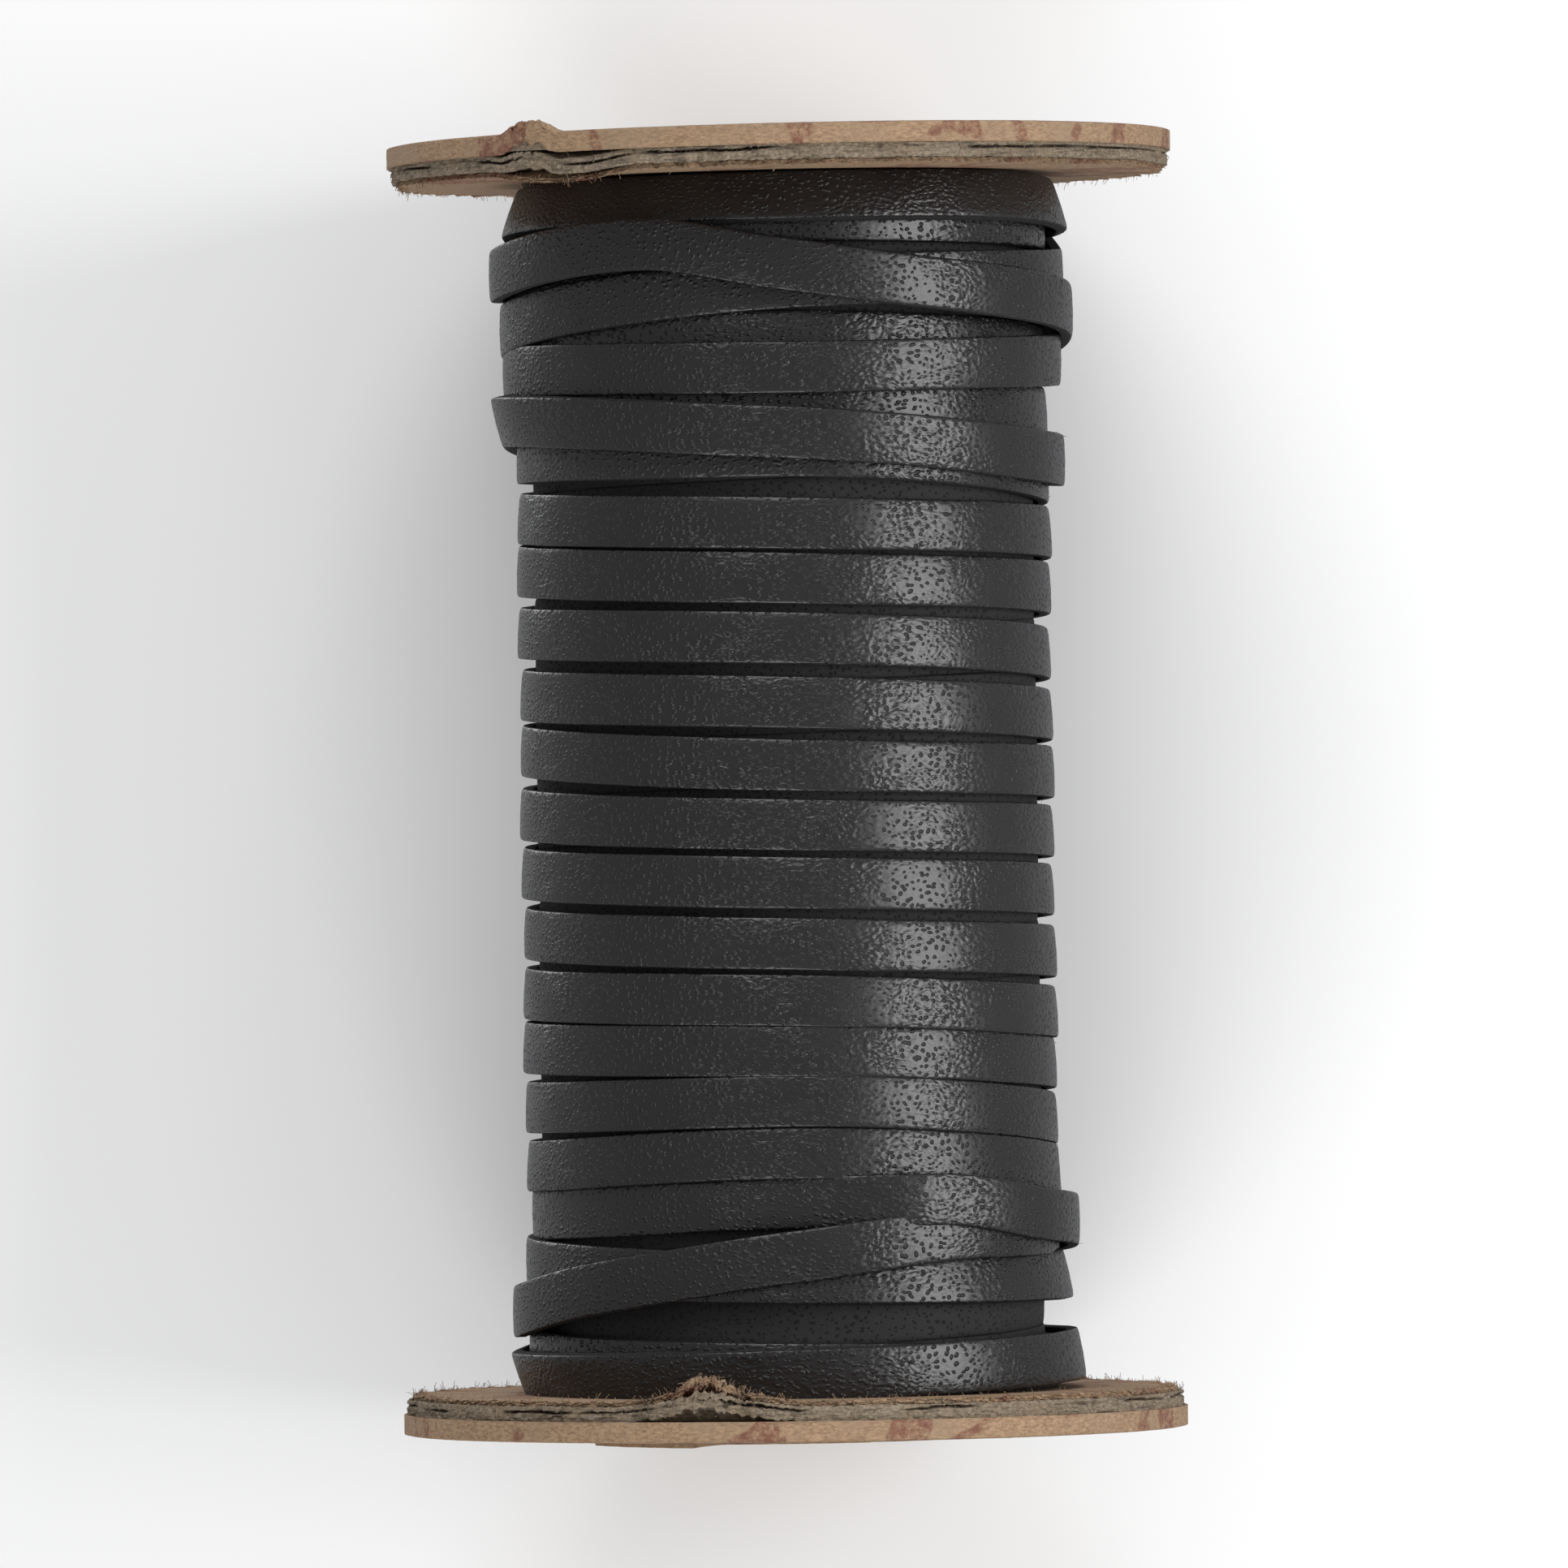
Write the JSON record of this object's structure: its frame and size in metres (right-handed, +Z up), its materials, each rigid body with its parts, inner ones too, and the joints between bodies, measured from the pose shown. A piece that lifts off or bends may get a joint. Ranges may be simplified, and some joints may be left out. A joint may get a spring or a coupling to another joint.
{
  "type": "spool of flat leather lace",
  "caption": "Paper spool with laminated chipboard flanges, wound with flat black leather lacing, with a bore that fits on a peg.",
  "frame": {"origin": "on the spool's axis, in the plane of the lower petals that it stands on", "axes": "+Z up along the spool's axis; -Y is the side that faces the viewer"},
  "size_m": [0.0508, 0.0508, 0.0847],
  "materials": {
    "lace": "satin",
    "kraft_paper": "matte",
    "chipboard": "matte",
    "tube_paper": "matte",
    "tape_paper": "matte"
  },
  "bodies": {
    "root": {"core_inner_ply": "tube_paper", "core_middle_ply": "tube_paper", "core_outer_ply": "tube_paper", "lower_outer_liner": "kraft_paper", "lower_outer_board": "chipboard", "lower_inner_board": "chipboard", "lower_inner_liner": "kraft_paper", "upper_outer_liner": "kraft_paper", "upper_outer_board": "chipboard", "upper_inner_board": "chipboard", "upper_inner_liner": "kraft_paper", "start_tape": "tape_paper", "lace_layer_1": "lace", "lace_layer_2": "lace", "lace_layer_3": "lace", "lace_layer_4": "lace", "lace_layer_5": "lace", "lace_layer_6": "lace", "lace_layer_7": "lace", "lace_lower_build_up": "lace", "lace_lower_end_wraps": "lace", "lace_top_layer": "lace", "lace_upper_end_wraps": "lace"}
  },
  "joints": []
}
